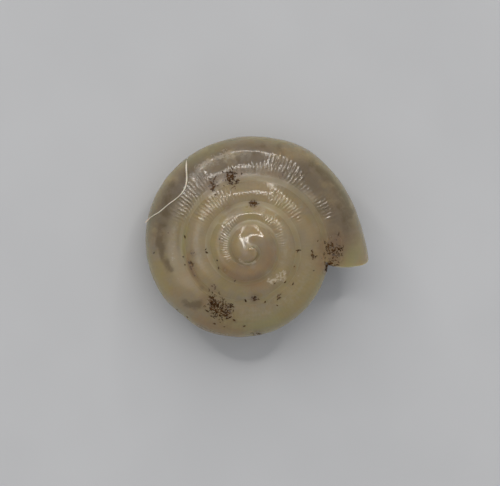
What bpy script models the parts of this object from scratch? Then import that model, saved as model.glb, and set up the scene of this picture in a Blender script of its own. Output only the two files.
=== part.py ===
# Land snail shell: one hollow, coiled solid, built at real size.
#
# The shell is a tube that grows along a flattened spiral. A whorl is one turn of it, and the
# stage of a point is the number of whorls grown from the nucleus at the apex to there. Each
# cross-section is a closed curve in a plane through the axis of coiling, half an ellipse above
# and half another below. It is cut off where it meets the whorl before it, so neighbouring
# whorls share their vertices along both seams.
import math

import bmesh
import bpy
from mathutils import Euler, Vector

MM = 0.001

# Driving dimensions of the spiral, in millimetres
WHORLS = 4.5625
FIRST_REACH = 0.105
REACH_PER_WHORL = 0.256
REACH_PER_WHORL_SQUARED = 0.0695
WALL = 0.09

# Shape of a cross-section: how far its inner wall stands from the axis as a share of its reach,
# its height above and below as a share of its half width, and the drop of its crest outward
UMBILICUS_SHARE = 0.225
UMBILICUS_STAGES = (0.8, 1.9)
WHORL_FLATNESS = 0.84
NUCLEUS_FLATNESS = 0.65
NUCLEUS_STAGES = (1.2, 2.2)
SPIRE_SLOPE = 0.42

# The solid nucleus: the depth of its core in mm and the stages over which the core ends, two
# poles on the axis, and the angles from which its rings close to them
CORE_DEPTH = 0.75
CORE_STAGES = (0.3, 1.1)
NUCLEUS_TOP = 0.012
NUCLEUS_BOTTOM = -0.78
NUCLEUS_TOP_ANGLE = math.radians(85.0)
NUCLEUS_BOTTOM_ANGLE = math.radians(-90.0)
START_ANGLE = math.radians(50.0)

# Small waves of the outline: whorls before the lip, half length in whorls, outward change in mm
OUTLINE_WAVES = (
    (0.0, 0.04, 0.16),
    (0.11, 0.035, -0.012),
    (0.20, 0.035, 0.04),
    (0.66, 0.02, -0.03),
    (0.90, 0.10, -0.012),
    (3.06, 0.12, -0.04),
    (3.30, 0.17, 0.06),
    (4.18, 0.33, -0.15),
)

# Small waves of the coil's height: whorls before the lip, half length in whorls, lift in mm
CREST_WAVES = (
    (0.15, 0.10, -0.04),
    (0.50, 0.12, -0.16),
    (0.90, 0.22, 0.065),
    (1.50, 0.08, -0.055),
    (4.50, 0.30, 0.02),
)

# Where the lip stands around the axis, and how far its lower edge is set back along the coil
LIP_AZIMUTH = math.radians(-12.0)
LIP_SET_BACK = 0.035
SET_BACK_STAGES = (1.0, 2.0)

# How the shell leans when it lies at rest on its base and lip, and the wear where it touches
REST_LEAN = Euler((math.radians(1.8), math.radians(-5.3), 0.0))
REST_FLAT = 0.02

# Fineness of the faceted surface
RINGS_PER_WHORL = 32
CREST_STEPS = 3
COVERED_STEPS = 11
BASE_STEPS = 4
CAVITY_FIRST_STAGE = 1.56
SCAN_STEP = math.radians(1.0)
SCAN_END = math.radians(240.0)
HALVINGS = 24

# Waxy, translucent olive grey
SHELL_COLOUR = (0.225, 0.190, 0.120, 1.0)
SHELL_ROUGHNESS = 0.22
SHARP_EDGES_FROM = math.radians(32.0)

LAST_RING = round(WHORLS * RINGS_PER_WHORL)
CAVITY_RING = round(CAVITY_FIRST_STAGE * RINGS_PER_WHORL)
STEPS = CREST_STEPS + 1 + COVERED_STEPS + 1 + BASE_STEPS
TOP_SEAM = CREST_STEPS
BOTTOM_SEAM = STEPS - BASE_STEPS


def smooth_step(low, high, value):
    """Blend smoothly from 0 at low to 1 at high."""
    share = min(max((value - low) / (high - low), 0.0), 1.0)
    return share * share * (3.0 - 2.0 * share)


def wave(bumps, stage):
    """Sum of smooth bumps along the coil, each given as before_lip, half_length and size."""
    total = 0.0
    for before_lip, half_length, size in bumps:
        distance = (WHORLS - before_lip - stage) / half_length
        total += size * math.exp(-distance * distance)
    return total


def reach(stage):
    """Distance from the axis to the outer wall."""
    length = FIRST_REACH + REACH_PER_WHORL * stage + REACH_PER_WHORL_SQUARED * stage * stage
    return length + wave(OUTLINE_WAVES, stage)


def section(stage):
    """Cross-section: centre radius, centre height, half width, and heights above and below."""
    outer = reach(stage)
    share = -1.0 + (UMBILICUS_SHARE + 1.0) * smooth_step(*UMBILICUS_STAGES, stage)
    half_width = outer * (1.0 - share) / 2.0
    grown = smooth_step(*NUCLEUS_STAGES, stage)
    flatness = NUCLEUS_FLATNESS + (WHORL_FLATNESS - NUCLEUS_FLATNESS) * grown
    core = 1.0 - smooth_step(*CORE_STAGES, stage)
    above = half_width * flatness
    below = half_width * WHORL_FLATNESS * (1.0 - core) + CORE_DEPTH * core
    centre = outer * (1.0 + share) / 2.0
    crest = -SPIRE_SLOPE * centre + wave(CREST_WAVES, stage)
    return centre, crest - above, half_width, above, below


def wall_point(stage, angle, inset=0.0):
    """Radius and height of a point on the wall, at an angle from straight outward."""
    centre, height, half_width, above, below = section(stage)
    radius = centre + (half_width - inset) * math.cos(angle)
    half_height = above if math.sin(angle) > 0.0 else below
    return radius, height + (half_height - inset) * math.sin(angle)


def is_inside(stage, radius, height):
    """True where a point lies within the cross-section of a stage."""
    centre, middle, half_width, above, below = section(stage)
    half_height = above if height > middle else below
    return ((radius - centre) / half_width) ** 2 + ((height - middle) / half_height) ** 2 < 1.0


def seam_angle(stage, side, inset=0.0):
    """Angle at which the wall meets the whorl before it, above (side 1) or below (side -1)."""
    angle = 0.0
    while abs(angle) < SCAN_END and not is_inside(stage - 1.0, *wall_point(stage, angle, inset)):
        angle += side * SCAN_STEP
    step = side * SCAN_STEP
    for _ in range(HALVINGS):
        step /= 2.0
        if is_inside(stage - 1.0, *wall_point(stage, angle - step, inset)):
            angle -= step
    return angle


def angle_under_seam(stage, side, inset=0.0):
    """Angle on a stage's own wall at which the next whorl's wall lands on it."""
    centre, middle, half_width, above, below = section(stage)
    radius, height = wall_point(stage + 1.0, seam_angle(stage + 1.0, side, inset), inset)
    half_height = above if height > middle else below
    return math.atan2((height - middle) / half_height, (radius - centre) / half_width)


def set_back(stage, angle):
    """Whorls by which the growth line lies back at an angle: none at the crest, most below."""
    grown = smooth_step(*SET_BACK_STAGES, stage)
    return grown * LIP_SET_BACK * (1.0 - math.sin(angle)) / 2.0


def place(stage, angle, inset=0.0):
    """Position of a wall point, in millimetres, with the axis of coiling on Z."""
    grown = stage - set_back(stage, angle)
    radius, height = wall_point(grown, angle, inset)
    azimuth = LIP_AZIMUTH + math.tau * (WHORLS - grown)
    return Vector((radius * math.cos(azimuth), radius * math.sin(azimuth), height))


def spread(first, last, steps):
    """Evenly spaced values from first up to, but without, last."""
    return [first + (last - first) * step / steps for step in range(steps)]


def outer_angles(ring):
    """Angles of a ring's outer vertices, with the next whorl's two seams at fixed places."""
    stage = ring / RINGS_PER_WHORL
    top, bottom = NUCLEUS_TOP_ANGLE, NUCLEUS_BOTTOM_ANGLE
    if ring >= RINGS_PER_WHORL:
        top, bottom = seam_angle(stage, 1), seam_angle(stage, -1)
    top_outside = angle_under_seam(stage, 1)
    bottom_outside = wrapped_below(angle_under_seam(stage, -1), top_outside)
    if ring + RINGS_PER_WHORL >= CAVITY_RING:
        top_inside = angle_under_seam(stage, 1, WALL)
        bottom_inside = wrapped_below(angle_under_seam(stage, -1, WALL), top_inside)
    else:
        seam_width = (top_outside - bottom_outside) / (COVERED_STEPS + 2)
        top_inside = top_outside - seam_width
        bottom_inside = bottom_outside + seam_width
    angles = spread(top, top_outside, CREST_STEPS) + [top_outside]
    angles += spread(top_inside, bottom_inside, COVERED_STEPS) + [bottom_inside]
    return angles + spread(bottom_outside, bottom, BASE_STEPS) + [bottom]


def wrapped_below(angle, upper):
    """The same direction as an angle, but less than the upper one."""
    return angle if angle < upper else angle - math.tau


def cavity_angles(ring):
    """Angles of a ring's cavity vertices, from its upper seam around to its lower one."""
    stage = ring / RINGS_PER_WHORL
    top, bottom = seam_angle(stage, 1, WALL), seam_angle(stage, -1, WALL)
    return spread(top, bottom, STEPS) + [bottom]


def add_face(mesh, corners):
    """Add a face, without the corners that repeat where rings shrink to a point."""
    corners = list(dict.fromkeys(corners))
    if len(corners) > 2:
        mesh.faces.new(corners)


def add_strip(mesh, first, second, skipped=()):
    """Join two rows of vertices with faces, except at the skipped steps."""
    for step in range(len(first) - 1):
        if step not in skipped:
            add_face(mesh, (first[step], first[step + 1], second[step + 1], second[step]))


def covered_steps(ring):
    """Steps of the strip after a ring that the next whorl leaves no surface on."""
    if ring + RINGS_PER_WHORL >= LAST_RING:
        return ()
    if ring + RINGS_PER_WHORL < CAVITY_RING:
        return range(TOP_SEAM, BOTTOM_SEAM)
    return (TOP_SEAM, BOTTOM_SEAM - 1)


def outer_rings(mesh):
    """Rows of vertices over the outside of every ring, from the nucleus to the lip."""
    upper_pole = mesh.verts.new((0.0, 0.0, NUCLEUS_TOP))
    lower_pole = mesh.verts.new((0.0, 0.0, NUCLEUS_BOTTOM))
    start = mesh.verts.new(place(0.0, START_ANGLE))
    rings = [[upper_pole] + [start] * (STEPS - 1) + [lower_pole]]
    for ring in range(1, LAST_RING + 1):
        stage = ring / RINGS_PER_WHORL
        angles = outer_angles(ring)
        between = [mesh.verts.new(place(stage, angle)) for angle in angles[1:-1]]
        ends = (upper_pole, lower_pole)
        if ring >= RINGS_PER_WHORL:
            inner_ring = rings[ring - RINGS_PER_WHORL]
            ends = (inner_ring[TOP_SEAM], inner_ring[BOTTOM_SEAM])
        rings.append([ends[0]] + between + [ends[1]])
    return rings


def cavity_rings(mesh, outside):
    """Rows of vertices around the cavity, from its inner end to the lip."""
    rings = []
    for ring in range(CAVITY_RING, LAST_RING + 1):
        stage = ring / RINGS_PER_WHORL
        angles = cavity_angles(ring)
        between = [mesh.verts.new(place(stage, angle, WALL)) for angle in angles[1:-1]]
        inner_ring = outside[ring - RINGS_PER_WHORL]
        rings.append([inner_ring[TOP_SEAM + 1]] + between + [inner_ring[BOTTOM_SEAM - 1]])
    return rings


def close_cavity_end(mesh, cavity, outside):
    """Close the inner end of the cavity against the whorl that it coils around."""
    inner_ring = outside[CAVITY_RING - RINGS_PER_WHORL]
    shares = [round(step * COVERED_STEPS / STEPS) for step in range(STEPS + 1)]
    parietal = [inner_ring[TOP_SEAM + 1 + share] for share in shares]
    add_strip(mesh, cavity[0], parietal)


def wear_flat(mesh, floor):
    """Cut the shell off level at the floor, which leaves a small worn flat at each contact."""
    everything = mesh.verts[:] + mesh.edges[:] + mesh.faces[:]
    cut = bmesh.ops.bisect_plane(
        mesh, geom=everything, plane_co=(0.0, 0.0, floor), plane_no=(0.0, 0.0, 1.0), clear_inner=True
    )
    rims = [item for item in cut["geom_cut"] if isinstance(item, bmesh.types.BMEdge)]
    bmesh.ops.holes_fill(mesh, edges=rims)


def lay_at_rest(mesh):
    """Lean the shell as it lies, wear it flat where it touches, and stand it on its origin."""
    bmesh.ops.rotate(mesh, verts=mesh.verts, matrix=REST_LEAN.to_matrix())
    lows = [min(vertex.co[axis] for vertex in mesh.verts) for axis in range(3)]
    highs = [max(vertex.co[axis] for vertex in mesh.verts) for axis in range(3)]
    floor = lows[2] + REST_FLAT
    wear_flat(mesh, floor)
    middle = Vector(((lows[0] + highs[0]) / 2.0, (lows[1] + highs[1]) / 2.0, floor))
    bmesh.ops.translate(mesh, verts=mesh.verts, vec=-middle)
    bmesh.ops.scale(mesh, verts=mesh.verts, vec=(MM, MM, MM))


def shell_material():
    """Waxy, glossy, olive-grey shell."""
    material = bpy.data.materials.new("shell_wall")
    material.use_nodes = True
    surface = material.node_tree.nodes["Principled BSDF"]
    surface.inputs["Base Color"].default_value = SHELL_COLOUR
    surface.inputs["Roughness"].default_value = SHELL_ROUGHNESS
    surface.inputs["Metallic"].default_value = 0.0
    return material


def build_shell():
    """The whole shell, as one object."""
    mesh = bmesh.new()
    outside = outer_rings(mesh)
    for ring in range(LAST_RING):
        add_strip(mesh, outside[ring], outside[ring + 1], covered_steps(ring))
    cavity = cavity_rings(mesh, outside)
    for near, far in zip(cavity, cavity[1:]):
        add_strip(mesh, far, near)
    close_cavity_end(mesh, cavity, outside)
    add_strip(mesh, outside[-1], cavity[-1])
    lay_at_rest(mesh)
    bmesh.ops.recalc_face_normals(mesh, faces=mesh.faces)
    data = bpy.data.meshes.new("shell")
    mesh.to_mesh(data)
    mesh.free()
    data.shade_smooth()
    data.set_sharp_from_angle(angle=SHARP_EDGES_FROM)
    data.materials.append(shell_material())
    shell = bpy.data.objects.new("shell", data)
    bpy.context.scene.collection.objects.link(shell)
    return shell


def main():
    for existing in list(bpy.data.objects):
        bpy.data.objects.remove(existing, do_unlink=True)
    build_shell()


if __name__ == "__main__":
    main()
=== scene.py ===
# Looks of the land snail shell: fine shell wall, growth lines, dried soil, lint, light and camera.
import math
import random

import bmesh
import bpy
import numpy as np
from mathutils import Euler, Matrix, Vector
from mathutils.bvhtree import BVHTree


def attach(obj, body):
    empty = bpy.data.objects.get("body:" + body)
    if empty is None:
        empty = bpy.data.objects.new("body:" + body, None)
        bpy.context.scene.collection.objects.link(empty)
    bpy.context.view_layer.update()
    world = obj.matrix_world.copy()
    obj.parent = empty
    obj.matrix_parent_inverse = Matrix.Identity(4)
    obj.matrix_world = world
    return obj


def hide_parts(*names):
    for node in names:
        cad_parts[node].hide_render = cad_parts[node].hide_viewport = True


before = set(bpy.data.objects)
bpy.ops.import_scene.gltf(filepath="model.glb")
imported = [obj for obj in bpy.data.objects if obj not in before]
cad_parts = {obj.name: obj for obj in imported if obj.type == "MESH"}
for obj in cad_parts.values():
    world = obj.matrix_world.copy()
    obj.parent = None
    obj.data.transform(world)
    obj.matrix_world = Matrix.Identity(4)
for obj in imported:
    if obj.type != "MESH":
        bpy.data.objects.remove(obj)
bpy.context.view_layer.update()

MM = 0.001

# Driving dimensions of the spiral, in millimetres, as in the part's source
WHORLS = 4.5625
FIRST_REACH = 0.105
REACH_PER_WHORL = 0.256
REACH_PER_WHORL_SQUARED = 0.0695
WALL = 0.09
UMBILICUS_SHARE = 0.225
UMBILICUS_STAGES = (0.8, 1.9)
WHORL_FLATNESS = 0.84
NUCLEUS_FLATNESS = 0.65
NUCLEUS_STAGES = (1.2, 2.2)
SPIRE_SLOPE = 0.42
CORE_DEPTH = 0.75
CORE_STAGES = (0.3, 1.1)
NUCLEUS_TOP = 0.012
NUCLEUS_BOTTOM = -0.78
NUCLEUS_TOP_ANGLE = math.radians(85.0)
NUCLEUS_BOTTOM_ANGLE = math.radians(-90.0)
START_ANGLE = math.radians(50.0)
OUTLINE_WAVES = (
    (0.0, 0.04, 0.16), (0.11, 0.035, -0.012), (0.20, 0.035, 0.04), (0.66, 0.02, -0.03),
    (0.90, 0.10, -0.012), (3.06, 0.12, -0.04), (3.30, 0.17, 0.06), (4.18, 0.33, -0.15),
)
CREST_WAVES = (
    (0.15, 0.10, -0.04), (0.50, 0.12, -0.16), (0.90, 0.22, 0.065), (1.50, 0.08, -0.055),
    (4.50, 0.30, 0.02),
)
LIP_AZIMUTH = math.radians(-12.0)
LIP_SET_BACK = 0.035
SET_BACK_STAGES = (1.0, 2.0)
REST_TURN = np.array(Euler((math.radians(1.8), math.radians(-5.3), 0.0)).to_matrix())
REST_FLAT = 0.02
CAVITY_FIRST_STAGE = 1.5625

# Fineness of the visible wall: rings in a whorl, and steps of a ring above, under and below
# the next whorl
RINGS_PER_WHORL = 256
CREST_STEPS = 14
COVERED_STEPS = 24
BASE_STEPS = 11
STEPS = CREST_STEPS + 1 + COVERED_STEPS + 1 + BASE_STEPS
TOP_SEAM = CREST_STEPS
BOTTOM_SEAM = STEPS - BASE_STEPS
LAST_RING = round(WHORLS * RINGS_PER_WHORL)
CAVITY_RING = round(CAVITY_FIRST_STAGE * RINGS_PER_WHORL)
SHARP_EDGE = math.radians(32.0)

# How the seams are found: degrees scanned around a ring, halvings of the last one, samples in a
# whorl and whorls sampled past the lip
SCAN_DEGREES = 240
HALVINGS = 20
SEAM_SAMPLES_PER_WHORL = 64
SAMPLED_PAST_LIP = 0.1

# Rounding of the groove along the upper seam: columns on each side, rounds of smoothing and
# how far each goes, and the stages over which it sets in
SOFT_COLUMNS = 7
SOFT_ROUNDS = 8
SOFT_SHARE = 0.5
SOFT_STAGES = (0.2, 1.9)

# The nucleus sits a little aslant: rise to the right, rise away, and how far this reaches in mm
NUCLEUS_SLANT = (0.17, -0.12)
SLANT_REACH = 0.75

# Dust and a painted warm glow along the upper seam: strength at the seam and in the columns beside it
SEAM_BAND = (1.0, 0.7, 0.3)

# Growth wrinkles that are real relief: length of one along the coil and height, in mm, how far
# they sway in lengths of one, and the stages over which they begin
WRINKLES = ((0.42, 0.006), (0.17, 0.004))
WRINKLE_SWAY = 0.35
WRINKLED_STAGES = (1.0, 1.8)
WRINKLE_SEED = 7
WRINKLE_DRAWS = 2048

# Fine ribs along the growth lines: number in a whorl at the apex, how many more in each later
# one, how they wander (fineness along and across the coil, and size), height in mm, stages over
# which they begin, and the least share of their height
FIRST_RIBS = 2.0
MORE_RIBS = 32.0
RIB_WANDER = (12.0, 0.6, 11.0)
RIB_HEIGHT = 0.009
RIBBED_STAGES = (1.3, 1.6)
LEAST_RIBBED = 0.04

# How far the rounded edge of the lip stands proud, as a share of the wall
LIP_ROUNDING = 0.4

# The photograph: scale, size, place of the apex, how far above it the axis shows in mm, and the
# way it looks down on the coil. The camera: distance in mm, clipping in m, sensor in mm
PIXELS_PER_MM = 44.4
PHOTO_SIZE = (500, 486)
APEX_PIXEL = (250.5, 251.5)
AXIS_RISE = 0.045
VIEW_LEAN_X = math.radians(3.7)
VIEW_LEAN_Y = math.radians(4.7)
CAMERA_DISTANCE = 240.0
CAMERA_CLIP = (0.01, 2.0)
SENSOR = 36.0
# Right, up and towards the camera, as rows, in the shell's own upright frame
PICTURE_AXES = np.array(Matrix.Rotation(VIEW_LEAN_Y, 3, "Y") @ Matrix.Rotation(VIEW_LEAN_X, 3, "X"))

# Marks show only where the shell faces the camera: the range of this over which they set in
FACING = (0.0, 0.25)

# Marks on the shell, each a stroke around the apex as the photograph shows it: first angle in
# degrees and distance in mm, last angle and distance, half width in mm, strength
STROKES = {
    "umber": (
        (12, 2.1, 165, 2.2, 0.5, 0.8), (58, 2.1, 66, 2.05, 0.14, 0.5),
        (128, 2.28, 138, 2.25, 0.14, 0.55), (-25, 0.42, 25, 0.46, 0.15, 0.35),
    ),
    "dusk": (
        (22, 2.44, 56, 2.44, 0.12, 0.95), (90, 1.86, 118, 1.9, 0.1, 0.45),
        (14, 2.24, 24, 2.32, 0.12, 0.8), (140, 2.28, 152, 2.2, 0.13, 0.8),
        (163, 2.09, 176, 2.07, 0.07, 1.15), (176, 2.04, 188, 1.94, 0.06, 1.2),
        (186, 1.9, 193, 1.84, 0.08, 0.8), (219.5, 1.84, 224, 1.7, 0.12, 1.35),
        (30, 1.75, 36, 1.9, 0.12, 0.6),
    ),
    "soil": (
        (230, 1.45, 252, 1.62, 0.4, 0.45), (98, 1.74, 124, 1.72, 0.18, 0.6),
        (70, 1.8, 84, 1.78, 0.14, 0.45), (-4, 1.9, 6, 1.9, 0.24, 0.8),
        (190, 1.4, 204, 1.38, 0.06, 0.8), (-17, 1.83, -10, 1.8, 0.05, 1.0),
        (-8, 1.62, 4, 1.62, 0.18, 0.35), (185, 1.42, 235, 1.3, 0.05, 0.45),
        (235, 2.07, 262, 1.95, 0.06, 0.65), (212, 0.6, 296, 0.62, 0.12, 0.35),
        (-14, 1.76, -11, 1.78, 0.08, 1.0),
    ),
    # Crisp, whitish flakes of dry shell, and one painted highlight: the broken glint along the lower border
    # of the nucleus
    "flake_and_glint": (
        (218, 0.31, 296, 0.25, 0.035, 1.15), (305, 0.8, 326, 0.9, 0.11, 0.9),
    ),
    # Whitish ribs, painted highlights: pale paint on the rib crests where they glint
    "chalk_and_glint": (
        (114, 0.82, 150, 0.64, 0.09, 0.8), (150, 0.62, 198, 0.52, 0.08, 0.9),
        (42, 0.9, 62, 0.86, 0.08, 0.85), (120, 1.32, 141, 1.36, 0.12, 0.8),
        (46, 1.4, 64, 1.36, 0.1, 0.8), (136, 1.94, 150, 1.82, 0.12, 0.7),
        (60, 2.04, 70, 2.1, 0.12, 0.6), (24, 1.97, 34, 1.99, 0.1, 0.6),
    ),
    # Milky pale shell in places, and painted sheen where dim reflections fall on the left whorls and the
    # top
    "milk_and_sheen": (
        (128, 1.4, 200, 1.12, 0.14, 0.3), (162, 1.78, 188, 1.75, 0.1, 0.3),
        (92, 2.2, 120, 2.18, 0.14, 0.45), (255, 1.4, 345, 1.35, 0.25, 0.25),
        (-20, 0.75, 40, 0.85, 0.16, 0.35),
    ),
    # Thin, greenish shell
    "green": (
        (-9, 2.26, 0, 2.36, 0.2, 0.75), (108, 2.42, 125, 2.42, 0.1, 0.45),
        (160, 1.55, 182, 1.51, 0.06, 0.25), (262, 1.72, 290, 1.66, 0.16, 0.4),
    ),
    # Reddish yellow shell
    "tawny": (
        (200, 0.45, 350, 0.48, 0.22, 0.45), (215, 0.68, 290, 0.72, 0.14, 0.6),
        (232, 2.0, 262, 1.88, 0.16, 0.6), (-10, 1.66, 6, 1.7, 0.16, 0.7),
        (184, 1.42, 215, 1.36, 0.06, 0.6),
    ),
    "amber": (
        (250, 1.75, 330, 1.6, 0.4, 0.55), (190, 2.1, 250, 1.8, 0.25, 0.25),
        (160, 1.54, 184, 1.5, 0.06, 0.7), (130, 0.95, 215, 0.75, 0.1, 0.45),
        (108, 2.45, 125, 2.45, 0.14, 0.45),
    ),
    # Where dust dulls the gloss
    "dull": (
        (103, 2.3, 128, 2.18, 0.13, 0.55), (70, 1.84, 128, 1.82, 0.11, 0.6),
        (60, 0.97, 135, 0.97, 0.09, 1.0), (152, 1.8, 200, 1.74, 0.2, 0.3),
        (146, 1.24, 205, 1.12, 0.18, 0.25),
    ),
    # Where the fine ribs stand out
    "ribbed": (
        (58, 2.0, 72, 2.12, 0.19, 1.0), (24, 1.97, 34, 1.99, 0.13, 1.2),
        (124, 1.96, 132, 1.88, 0.18, 1.0), (134, 1.86, 150, 1.8, 0.18, 1.1),
        (76, 1.93, 104, 1.93, 0.1, 0.6), (40, 1.36, 68, 1.36, 0.14, 1.2),
        (112, 1.34, 142, 1.36, 0.15, 1.2), (68, 1.32, 112, 1.3, 0.06, 0.5),
        (40, 0.88, 66, 0.84, 0.11, 0.7), (118, 0.82, 150, 0.67, 0.11, 0.6),
        (150, 0.67, 195, 0.49, 0.1, 0.8), (16, 0.74, 28, 0.74, 0.08, 0.9),
        (195, 0.42, 270, 0.26, 0.05, 1.0),
    ),
}
# Small marks: place as mm right of and above the apex, half width in mm, strength
SPOTS = {
    "dusk": (
        (-1.9, 0.87, 0.13, 0.9), (-0.26, 2.08, 0.1, 0.8), (0.09, 2.24, 0.09, 0.6),
        (0.28, 2.38, 0.1, 0.55), (0.66, 2.38, 0.12, 0.55), (1.3, 1.97, 0.13, 0.7),
        (-1.43, 1.75, 0.11, 0.75), (2.2, 0.8, 0.12, 1.0), (2.22, 0.6, 0.12, 1.0),
        (1.72, 1.0, 0.16, 0.7), (2.02, 1.0, 0.14, 0.9), (-1.1, -0.82, 0.07, 0.85),
        (2.4, -0.03, 0.06, 0.6), (-0.45, 1.66, 0.2, 1.0), (-0.8, 1.5, 0.15, 0.95),
        (0.06, 1.09, 0.1, 0.9),
    ),
    "soil": (
        (-0.82, -1.2, 0.2, 0.95), (-0.55, -1.38, 0.22, 0.85), (-0.45, 1.66, 0.18, 1.0),
        (-0.87, 1.48, 0.12, 0.95), (0.42, 1.75, 0.11, 0.8), (0.71, 1.72, 0.1, 0.7),
        (-0.51, 0.96, 0.1, 0.7), (0.06, 1.09, 0.08, 1.0), (1.77, -0.29, 0.1, 1.0),
        (1.42, -0.1, 0.09, 0.8), (0.09, -1.07, 0.1, 0.9), (-1.3, -0.05, 0.1, 0.8),
        (-1.32, -0.35, 0.1, 0.7), (0.16, -1.88, 0.11, 0.8), (-0.57, -0.42, 0.07, 0.6),
    ),
    "flake_and_glint": (
        (0.72, -0.62, 0.1, 0.9), (0.52, -0.72, 0.08, 0.8), (1.08, -0.52, 0.06, 0.6),
    ),
    "milk_and_sheen": (
        (0.4, -0.5, 0.1, 0.5), (-0.48, 2.1, 0.14, 0.3), (0.2, 1.92, 0.16, 0.25),
    ),
    "amber": (
        (0.48, -1.41, 0.14, 0.6), (2.41, 0.31, 0.1, 0.4), (-0.6, 0.05, 0.1, 0.4),
    ),
}

# Patches of dried soil: middle as mm right of and above the apex, half width and half height,
# number of streaks, their direction in degrees and half its range
CRUMB_PATCHES = (
    (-0.83, -1.22, 0.12, 0.27, 80, 90, 40), (-0.6, -1.34, 0.17, 0.2, 70, -25, 50),
    (-0.84, -1.05, 0.16, 0.09, 12, 20, 80), (-0.45, 1.66, 0.15, 0.17, 64, 60, 60),
    (-0.85, 1.5, 0.08, 0.11, 22, 70, 60), (0.06, 1.09, 0.09, 0.018, 30, 0, 15),
    (1.88, 0.03, 0.22, 0.26, 64, 20, 60), (1.78, -0.29, 0.07, 0.04, 24, 10, 60),
    (1.71, -0.38, 0.03, 0.1, 20, 80, 40), (1.41, -0.1, 0.06, 0.09, 12, 60, 70),
    (1.06, 0.0, 0.04, 0.04, 4, 30, 80), (0.09, -1.07, 0.08, 0.05, 8, 0, 80),
    (0.66, -1.05, 0.1, 0.09, 5, 60, 80), (-1.33, -0.29, 0.08, 0.06, 4, 90, 80),
    (0.16, -1.86, 0.11, 0.02, 6, 0, 20),
)
# How streaks scatter, as a share of the patch, and their grains: number in one, turn from each
# to the next in radians, half size in mm and distance in half sizes
STREAK_SCATTER = 0.55
STREAK_GRAINS = (1, 5)
STREAK_TURN = 0.8
STREAK_GRAIN = (0.006, 0.014)
STREAK_SPACING = 1.7
# Shape of a grain: length, width and depth, and how rough it is
GRAIN_STRETCH = ((1.0, 2.2), (0.7, 1.1), (0.4, 0.8))
GRAIN_ROUGHNESS = (0.75, 1.25)
# Grains that lie alone: mm right of and above the apex, half size in mm
SINGLE_CRUMBS = (
    (-1.48, 0.33, 0.022), (-1.52, -0.12, 0.018), (-1.48, -0.3, 0.018), (-1.01, 0.05, 0.018),
    (-0.99, -0.02, 0.022), (-0.75, -0.2, 0.024), (-0.72, -0.37, 0.018), (-0.7, 0.28, 0.016),
    (-0.35, -0.66, 0.02), (-0.87, -0.78, 0.018), (-1.66, -1.31, 0.018), (-1.43, -1.48, 0.02),
    (-0.81, -1.63, 0.024), (-0.37, -1.55, 0.02), (-2.18, -0.03, 0.018), (-0.11, -1.11, 0.024),
    (0.33, -1.14, 0.02), (0.6, -1.22, 0.022), (0.78, -0.69, 0.02), (0.96, -0.73, 0.018),
    (0.99, -0.34, 0.022), (-0.14, -1.69, 0.02), (-0.79, 1.28, 0.022), (1.52, 0.24, 0.016),
    (1.43, -0.43, 0.016), (1.38, 0.02, 0.014), (0.55, -0.72, 0.014), (-1.86, 0.42, 0.014),
)
CRUMB_SEED = 11

# The lint fibre: places on it as mm right of and above the apex
LINT_PLACES = (
    (-1.43, 2.12), (-1.45, 1.92), (-1.44, 1.66), (-1.46, 1.49), (-1.53, 1.34),
    (-1.67, 1.2), (-1.86, 1.06), (-2.05, 0.9), (-2.18, 0.82), (-2.28, 0.75), (-2.39, 0.64),
)
# Its thickness in mm and flatness, how far its middle lies off the shell, steps between its
# places, sides, and its thickness at the tip and how this grows with each step
LINT_THICKNESS = 0.036
LINT_FLATNESS = 0.7
LINT_LIFT = 0.012
LINT_STEPS = 8
LINT_SIDES = 8
LINT_TIP = 0.35
LINT_TAPER = 0.2

# How far above the shell, in mm, a line of sight starts
SIGHT_START = 10.0


def smooth_step(low, high, value):
    """Blend smoothly from 0 at low to 1 at high."""
    share = np.clip((value - low) / (high - low), 0.0, 1.0)
    return share * share * (3.0 - 2.0 * share)


def wave(bumps, stage):
    """Sum of smooth bumps along the coil, each given as before_lip, half_length and size."""
    total = 0.0
    for before_lip, half_length, size in bumps:
        distance = (WHORLS - before_lip - stage) / half_length
        total = total + size * np.exp(-distance * distance)
    return total


def reach(stage):
    """Distance from the axis to the outer wall."""
    length = FIRST_REACH + REACH_PER_WHORL * stage + REACH_PER_WHORL_SQUARED * stage * stage
    return length + wave(OUTLINE_WAVES, stage)


def section(stage):
    """Cross-section: centre radius, centre height, half width, and heights above and below."""
    outer = reach(stage)
    share = -1.0 + (UMBILICUS_SHARE + 1.0) * smooth_step(*UMBILICUS_STAGES, stage)
    half_width = outer * (1.0 - share) / 2.0
    grown = smooth_step(*NUCLEUS_STAGES, stage)
    flatness = NUCLEUS_FLATNESS + (WHORL_FLATNESS - NUCLEUS_FLATNESS) * grown
    core = 1.0 - smooth_step(*CORE_STAGES, stage)
    above = half_width * flatness
    below = half_width * WHORL_FLATNESS * (1.0 - core) + CORE_DEPTH * core
    centre = outer * (1.0 + share) / 2.0
    crest = -SPIRE_SLOPE * centre + wave(CREST_WAVES, stage)
    return centre, crest - above, half_width, above, below


def wall_point(stage, angle, inset=0.0):
    """Radius and height of a point on the wall, at an angle from straight outward."""
    centre, height, half_width, above, below = section(stage)
    radius = centre + (half_width - inset) * np.cos(angle)
    half_height = np.where(np.sin(angle) > 0.0, above, below)
    return radius, height + (half_height - inset) * np.sin(angle)


def is_inside(stage, radius, height):
    """True where a point lies within the cross-section of a stage."""
    centre, middle, half_width, above, below = section(stage)
    half_height = np.where(height > middle, above, below)
    return ((radius - centre) / half_width) ** 2 + ((height - middle) / half_height) ** 2 < 1.0


def seam_angle(stage, side, inset=0.0):
    """Angles at which the wall meets the whorl before it, above (side 1) or below (side -1)."""
    turned = side * np.radians(np.arange(SCAN_DEGREES + 1.0))
    met = is_inside(stage[:, None] - 1.0, *wall_point(stage[:, None], turned[None, :], inset))
    angle = turned[np.argmax(met, axis=1)]
    step = side * math.radians(1.0)
    for _ in range(HALVINGS):
        step /= 2.0
        still = is_inside(stage - 1.0, *wall_point(stage, angle - step, inset))
        angle = np.where(still, angle - step, angle)
    return angle


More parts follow.
